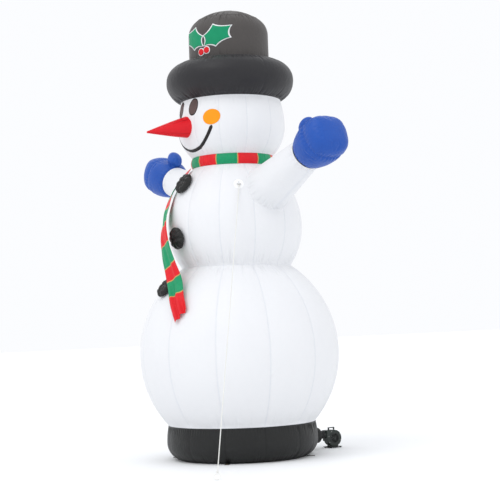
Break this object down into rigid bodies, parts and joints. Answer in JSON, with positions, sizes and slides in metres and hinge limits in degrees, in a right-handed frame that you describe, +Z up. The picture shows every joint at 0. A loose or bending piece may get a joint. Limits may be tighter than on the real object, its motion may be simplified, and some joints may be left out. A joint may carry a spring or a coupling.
{
  "type": "inflatable snowman",
  "caption": "Giant air-filled snowman with a top hat, raised mittened arms and a hanging scarf, on a round base fed by a ground blower, with a side tether rope tied down.",
  "frame": {"origin": "middle of the round floor, on the ground", "axes": "+Z up, -Y the way the snowman faces, +X toward its left arm, +Y toward the blower"},
  "size_m": [4.5982, 3.2762, 6.12],
  "materials": {
    "white_nylon": "satin coated woven nylon",
    "black_nylon": "satin coated woven nylon",
    "hat_nylon": "satin coated woven nylon",
    "blue_nylon": "satin coated woven nylon",
    "red_nylon": "satin coated woven nylon",
    "green_nylon": "satin coated woven nylon",
    "scarf_fabric": "striped red and green nylon",
    "face_brown": "printed nylon",
    "cheek_orange": "printed nylon",
    "webbing": "woven webbing",
    "white_rope": "braided rope",
    "steel": "nickel-plated wire",
    "brass_grommet": "plated grommet",
    "blower_plastic": "moulded plastic",
    "switch_red": "moulded plastic",
    "motor_steel": "painted steel",
    "shaft_steel": "turned steel",
    "foot_rubber": "moulded rubber",
    "lamp_cover": "frosted plastic",
    "zip_metal": "painted zinc"
  },
  "bodies": {
    "snowman": {"base_floor": "black_nylon", "base_wall": "black_nylon", "lower_body": "white_nylon", "middle_body": "white_nylon", "neck_band": "white_nylon", "head": "white_nylon", "hat_brim": "hat_nylon", "hat_crown": "hat_nylon", "hat_top": "hat_nylon", "left_arm": "white_nylon", "right_arm": "white_nylon", "left_mitten": "blue_nylon", "right_mitten": "blue_nylon", "nose": "red_nylon", "left_eye": "face_brown", "right_eye": "face_brown", "left_cheek": "cheek_orange", "right_cheek": "cheek_orange", "mouth": "face_brown", "scarf_collar": "scarf_fabric", "button_top": "hat_nylon", "button_middle": "hat_nylon", "button_bottom": "hat_nylon", "holly_border": "white_nylon", "holly_leaves": "green_nylon", "holly_berries": "red_nylon", "tether_patches": "white_nylon", "tether_tabs": "white_nylon", "tether_ring_left": "steel", "tether_rope": "white_rope", "top_knot": "white_rope", "ground_loop": "white_rope", "anchor_tabs": "webbing", "anchor_grommets": "brass_grommet", "inflation_sleeve": "black_nylon", "sleeve_strap": "webbing", "intake_housing": "blower_plastic", "motor_housing": "blower_plastic", "outlet_spigot": "blower_plastic", "intake_grille": "blower_plastic", "motor": "motor_steel", "motor_cover": "blower_plastic", "blower_stand": "blower_plastic", "rubber_feet": "foot_rubber", "carry_handle": "blower_plastic", "switch_box": "blower_plastic", "cable_gland": "blower_plastic", "housing_screws": "shaft_steel", "zip_tape": "webbing", "light_strap": "webbing", "lamp_holders": "blower_plastic", "lamps": "lamp_cover"},
    "fan": {"impeller": "blower_plastic", "motor_shaft": "shaft_steel"},
    "rocker": {"switch_rocker": "switch_red"},
    "zip_slider": {"zip_slider": "zip_metal"},
    "zip_pull": {"zip_pull": "zip_metal"},
    "right_ring": {"tether_ring_right": "steel"},
    "back_ring": {"tether_ring_back": "steel"},
    "scarf_tail": {"scarf_tail": "scarf_fabric"}
  },
  "joints": [
    {"name": "fan_spin", "type": "hinge", "parent": "snowman", "child": "fan", "pos_m": [0, 1.505, 0.135], "axis": [1, 0, 0], "continuous": true},
    {"name": "switch_tilt", "type": "hinge", "parent": "snowman", "child": "rocker", "pos_m": [-0.093, 1.423, 0.134], "axis": [0, 1, 0], "range_deg": [-8, 8]},
    {"name": "zip_run", "type": "hinge", "parent": "snowman", "child": "zip_slider", "pos_m": [0, 0, 0.23], "axis": [0, 0, 1], "range_deg": [0, 28]},
    {"name": "zip_pull_swing", "type": "hinge", "parent": "zip_slider", "child": "zip_pull", "pos_m": [-0.37277, 0.97111, 0.2335], "axis": [0.9336, 0.3584, 0], "range_deg": [0, 150]},
    {"name": "right_ring_swing", "type": "hinge", "parent": "snowman", "child": "right_ring", "pos_m": [-0.70968, -0.3616, 3.64542], "axis": [-0.454, 0.891, 0], "range_deg": [0, 150]},
    {"name": "back_ring_swing", "type": "hinge", "parent": "snowman", "child": "back_ring", "pos_m": [0, 0.7965, 3.64542], "axis": [1, 0, 0], "range_deg": [0, 150]},
    {"name": "scarf_swing", "type": "hinge", "parent": "snowman", "child": "scarf_tail", "pos_m": [-0.149, -0.5977, 3.902], "axis": [-1, 0, 0], "range_deg": [0, 13]}
  ]
}
